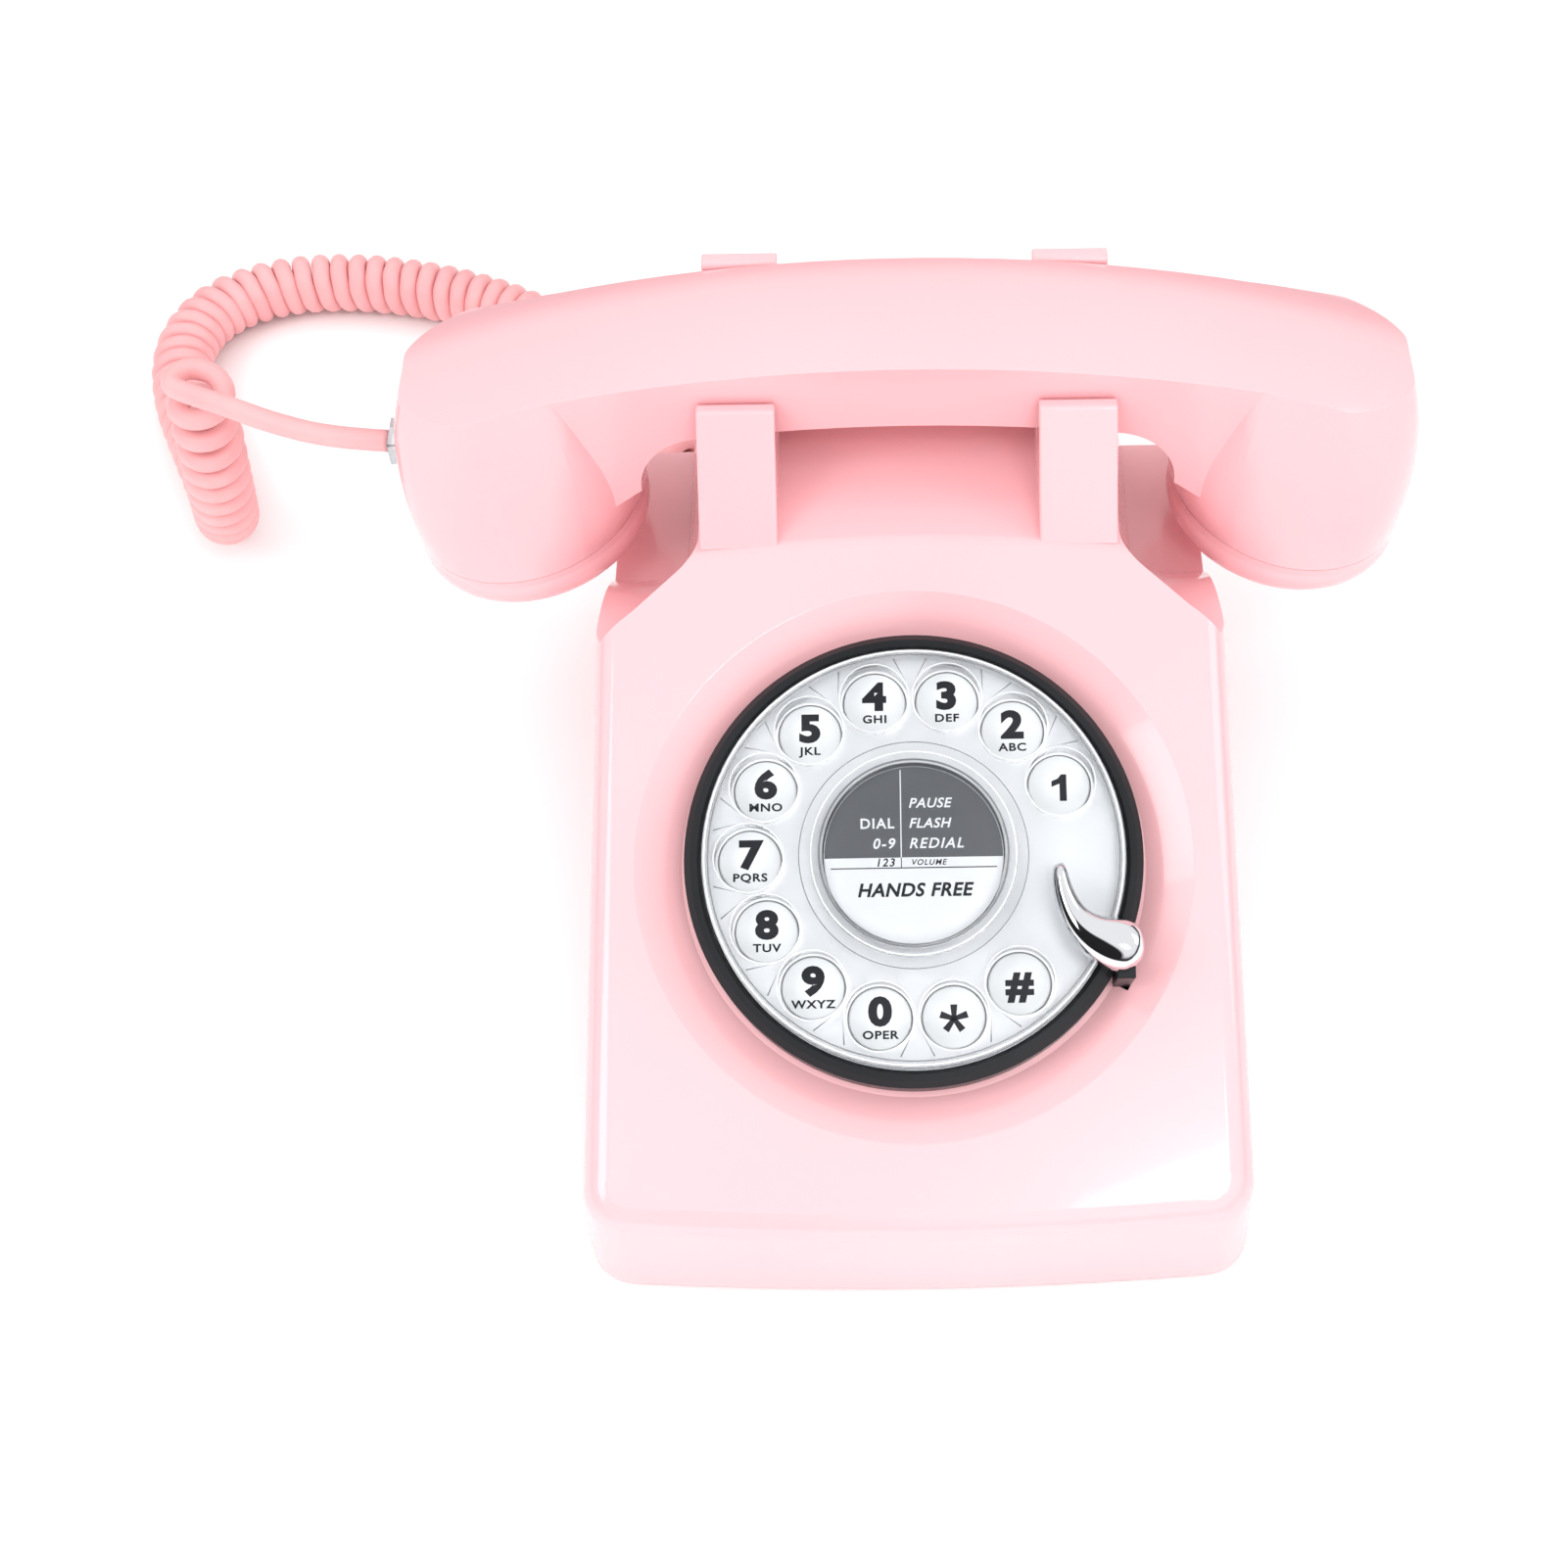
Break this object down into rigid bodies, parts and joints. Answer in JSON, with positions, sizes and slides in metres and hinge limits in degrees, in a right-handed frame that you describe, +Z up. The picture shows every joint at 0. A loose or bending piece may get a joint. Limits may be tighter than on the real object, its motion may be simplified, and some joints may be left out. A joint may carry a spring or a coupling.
{
  "type": "desk telephone",
  "caption": "Wedge-shaped desk telephone with a ring of round number keys, a centre button, four cradle prongs, a lifting handset and a curly cord.",
  "frame": {"origin": "on the surface that the phone stands on, under the middle of its outline without the cord", "axes": "+X to the right along the handset, -Y out of the front, +Z up"},
  "size_m": [0.3327, 0.3282, 0.1238],
  "materials": {
    "pink_plastic": "glossy moulded plastic",
    "black_plastic": "black satin moulding",
    "clear_plastic": "clear moulded acrylic",
    "silver_plastic": "silver-grey satin",
    "printed_label": "printed card",
    "grey_plastic": "grey moulding",
    "chrome": "bright chrome plate",
    "steel": "zinc plated steel",
    "rubber": "soft moulded rubber",
    "key_rubber": "silicone rubber",
    "circuit_board": "lacquered board",
    "components": "moulded components",
    "speaker_cone": "paper and steel",
    "pink_cord": "soft satin vinyl",
    "socket_plastic": "dark moulding",
    "plug_plastic": "clear moulding"
  },
  "bodies": {
    "base": {"case_shell": "pink_plastic", "base_plate": "pink_plastic", "rubber_feet": "rubber", "base_screws": "steel", "ballast_weight": "steel", "main_circuit_board": "circuit_board", "board_chips": "components", "board_screws": "steel", "loudspeaker": "speaker_cone", "line_socket": "socket_plastic", "cord_socket": "socket_plastic", "dial_housing": "black_plastic", "dial_number_plate": "silver_plastic", "dial_cover": "clear_plastic", "dial_screws": "steel", "key_mat": "key_rubber", "dial_circuit_board": "circuit_board", "button_switch": "components", "hook_bracket": "steel", "hook_microswitch": "components", "redial_switch": "components", "ringer_switch": "socket_plastic", "hook_springs": "steel", "cord_lead": "pink_cord", "cord_coil": "pink_cord", "cord_tail": "pink_cord", "base_plug": "plug_plastic"},
    "finger_stop": {"finger_stop": "chrome"},
    "centre_button": {"button_cap": "clear_plastic", "button_label": "printed_label", "button_stem": "grey_plastic"},
    "hook_switch": {"hook_plungers": "pink_plastic"},
    "ringer_slide": {"ringer_knob": "black_plastic"},
    "handset": {"handset_upper_shell": "pink_plastic", "handset_lower_shell": "pink_plastic", "earpiece_cap": "pink_plastic", "mouthpiece_cap": "pink_plastic", "receiver_capsule": "components", "microphone_capsule": "components", "handset_weight": "steel", "handset_screws": "steel", "handset_socket": "socket_plastic", "handset_plug": "plug_plastic"},
    "key_1": {"key_1": "silver_plastic"},
    "key_2": {"key_2": "silver_plastic"},
    "key_3": {"key_3": "silver_plastic"},
    "key_4": {"key_4": "silver_plastic"},
    "key_5": {"key_5": "silver_plastic"},
    "key_6": {"key_6": "silver_plastic"},
    "key_7": {"key_7": "silver_plastic"},
    "key_8": {"key_8": "silver_plastic"},
    "key_9": {"key_9": "silver_plastic"},
    "key_0": {"key_0": "silver_plastic"},
    "key_star": {"key_star": "silver_plastic"},
    "key_hash": {"key_hash": "silver_plastic"}
  },
  "joints": [
    {"name": "key_1_press", "type": "slide", "parent": "base", "child": "key_1", "axis": [0, 0.4384, -0.8988], "range_m": [0, 0.0012], "stiffness_N_per_m": 300, "springref_m": -0.0003},
    {"name": "key_2_press", "type": "slide", "parent": "base", "child": "key_2", "axis": [0, 0.4384, -0.8988], "range_m": [0, 0.0012], "stiffness_N_per_m": 300, "springref_m": -0.0003},
    {"name": "key_3_press", "type": "slide", "parent": "base", "child": "key_3", "axis": [0, 0.4384, -0.8988], "range_m": [0, 0.0012], "stiffness_N_per_m": 300, "springref_m": -0.0003},
    {"name": "key_4_press", "type": "slide", "parent": "base", "child": "key_4", "axis": [0, 0.4384, -0.8988], "range_m": [0, 0.0012], "stiffness_N_per_m": 300, "springref_m": -0.0003},
    {"name": "key_5_press", "type": "slide", "parent": "base", "child": "key_5", "axis": [0, 0.4384, -0.8988], "range_m": [0, 0.0012], "stiffness_N_per_m": 300, "springref_m": -0.0003},
    {"name": "key_6_press", "type": "slide", "parent": "base", "child": "key_6", "axis": [0, 0.4384, -0.8988], "range_m": [0, 0.0012], "stiffness_N_per_m": 300, "springref_m": -0.0003},
    {"name": "key_7_press", "type": "slide", "parent": "base", "child": "key_7", "axis": [0, 0.4384, -0.8988], "range_m": [0, 0.0012], "stiffness_N_per_m": 300, "springref_m": -0.0003},
    {"name": "key_8_press", "type": "slide", "parent": "base", "child": "key_8", "axis": [0, 0.4384, -0.8988], "range_m": [0, 0.0012], "stiffness_N_per_m": 300, "springref_m": -0.0003},
    {"name": "key_9_press", "type": "slide", "parent": "base", "child": "key_9", "axis": [0, 0.4384, -0.8988], "range_m": [0, 0.0012], "stiffness_N_per_m": 300, "springref_m": -0.0003},
    {"name": "key_0_press", "type": "slide", "parent": "base", "child": "key_0", "axis": [0, 0.4384, -0.8988], "range_m": [0, 0.0012], "stiffness_N_per_m": 300, "springref_m": -0.0003},
    {"name": "key_star_press", "type": "slide", "parent": "base", "child": "key_star", "axis": [0, 0.4384, -0.8988], "range_m": [0, 0.0012], "stiffness_N_per_m": 300, "springref_m": -0.0003},
    {"name": "key_hash_press", "type": "slide", "parent": "base", "child": "key_hash", "axis": [0, 0.4384, -0.8988], "range_m": [0, 0.0012], "stiffness_N_per_m": 300, "springref_m": -0.0003},
    {"name": "centre_button_press", "type": "slide", "parent": "base", "child": "centre_button", "axis": [0, 0.4384, -0.8988], "range_m": [0, 0.0012], "stiffness_N_per_m": 500, "springref_m": -0.0004},
    {"name": "redial_press", "type": "slide", "parent": "base", "child": "finger_stop", "axis": [0, 0.4384, -0.8988], "range_m": [0, 0.001], "stiffness_N_per_m": 500, "springref_m": -0.0003},
    {"name": "hook_switch_rise", "type": "slide", "parent": "base", "child": "hook_switch", "axis": [0, 0, 1], "range_m": [0, 0.005], "deforming": ["hook_springs"]},
    {"name": "ringer_volume_slide", "type": "slide", "parent": "base", "child": "ringer_slide", "axis": [1, 0, 0], "range_m": [0, 0.004]},
    {"name": "handset_lift", "type": "slide", "parent": "base", "child": "handset", "axis": [0, 0, 1], "range_m": [0, 0.1]}
  ],
  "couplings": [
    {"joint": "hook_switch_rise", "follows": "handset_lift", "ratio": 0.05}
  ]
}
